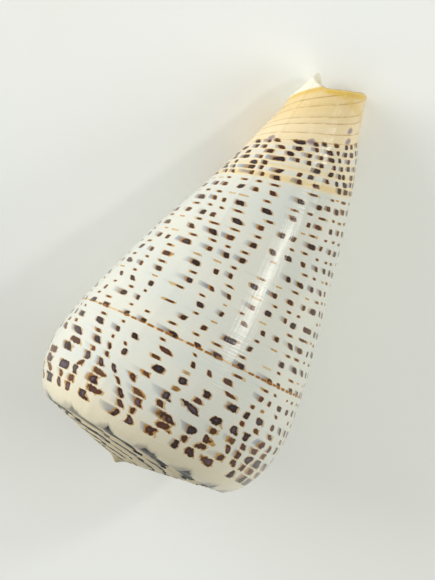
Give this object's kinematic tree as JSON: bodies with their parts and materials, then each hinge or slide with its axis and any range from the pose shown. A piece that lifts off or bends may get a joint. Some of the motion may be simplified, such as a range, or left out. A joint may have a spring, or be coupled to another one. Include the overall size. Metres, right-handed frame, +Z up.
{
  "type": "cone shell",
  "caption": "Large cone-shaped sea shell with a low coiled spire and a long narrow opening, lying on its aperture side.",
  "frame": {"origin": "middle of the shell's box, on the ground it rests on", "axes": "+X along the length, from the spire to the front tip; +Z up, away from the ground, with the aperture facing down"},
  "size_m": [0.0932, 0.0544, 0.0508],
  "materials": {
    "shell": "glossy cream-white shell with spiral rows of dark brown spots and an orange-yellow base"
  },
  "bodies": {
    "root": {"shell": "shell"}
  },
  "joints": []
}
